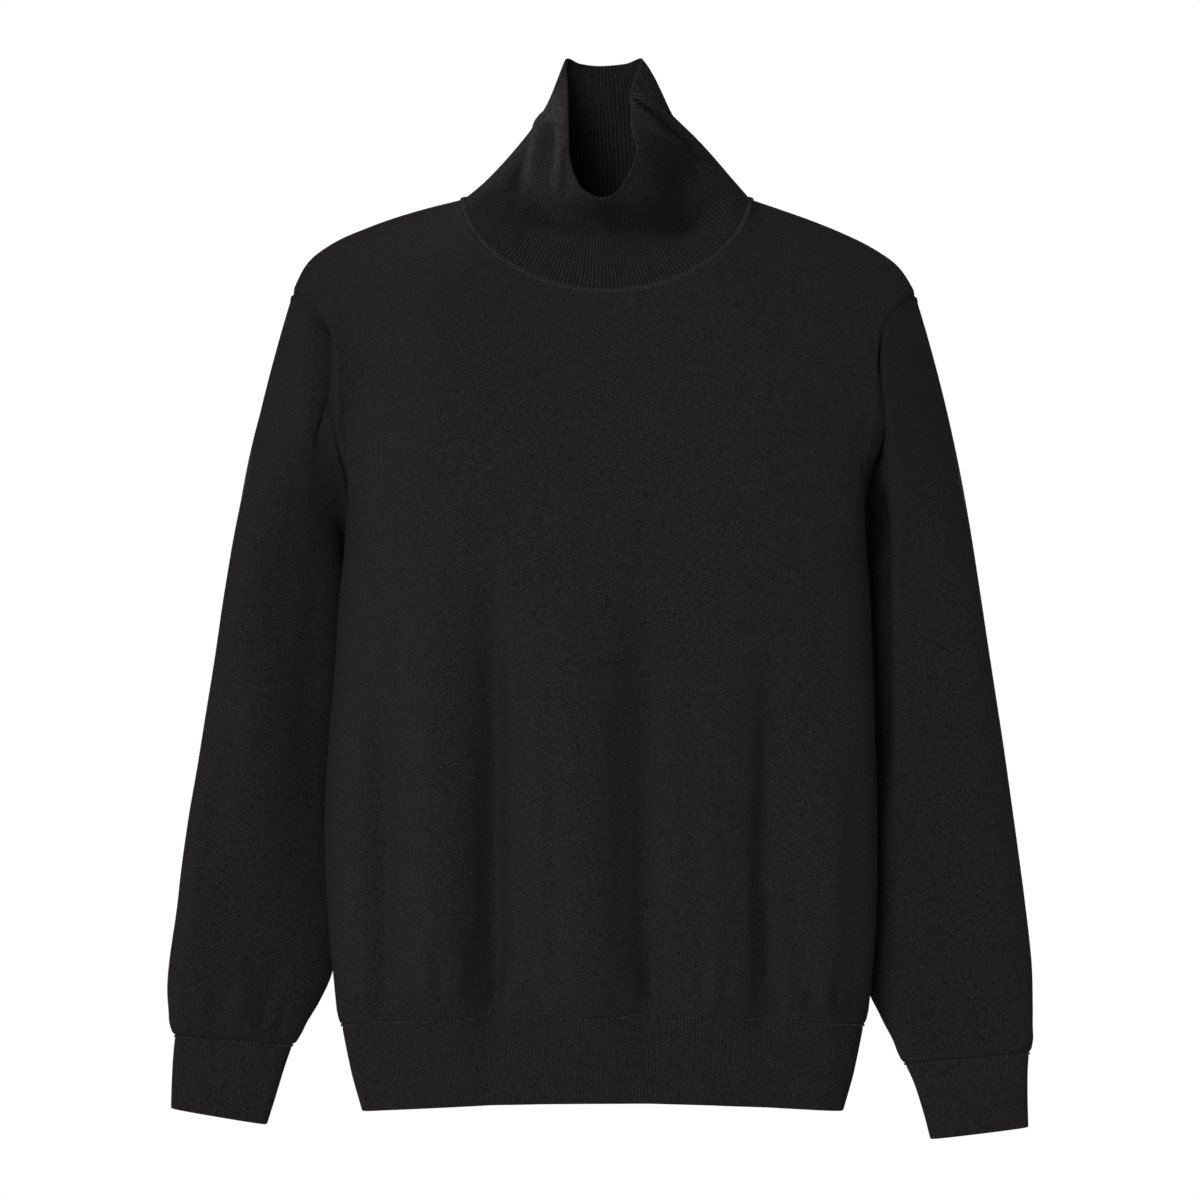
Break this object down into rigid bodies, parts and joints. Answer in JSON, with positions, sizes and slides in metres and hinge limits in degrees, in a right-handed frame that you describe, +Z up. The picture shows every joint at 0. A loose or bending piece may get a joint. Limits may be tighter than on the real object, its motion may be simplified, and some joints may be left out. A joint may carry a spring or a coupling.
{
  "type": "turtleneck sweater",
  "caption": "Fine knit turtleneck sweater, filled out and hollow, with long sleeves, a funnel collar and ribbed hem and cuffs.",
  "frame": {"origin": "middle of the neck opening, level with the neck points of the shoulder seams, where the wearer holds the sweater", "axes": "+Z up along the body, +X toward the wearer's left, -Y toward the wearer's front"},
  "size_m": [0.652, 0.2237, 0.8126],
  "materials": {
    "jersey_knit": "matt, softly brushed fine jersey",
    "rib_knit": "matt, fine one by one rib",
    "linking": "matt, raised linking course"
  },
  "bodies": {
    "root": {"front_panel": "jersey_knit", "back_panel": "jersey_knit", "sleeve_right": "jersey_knit", "sleeve_left": "jersey_knit", "collar": "rib_knit", "hem_rib_front": "rib_knit", "hem_rib_back": "rib_knit", "cuff_right": "rib_knit", "cuff_left": "rib_knit", "neck_seam": "linking"}
  },
  "joints": []
}
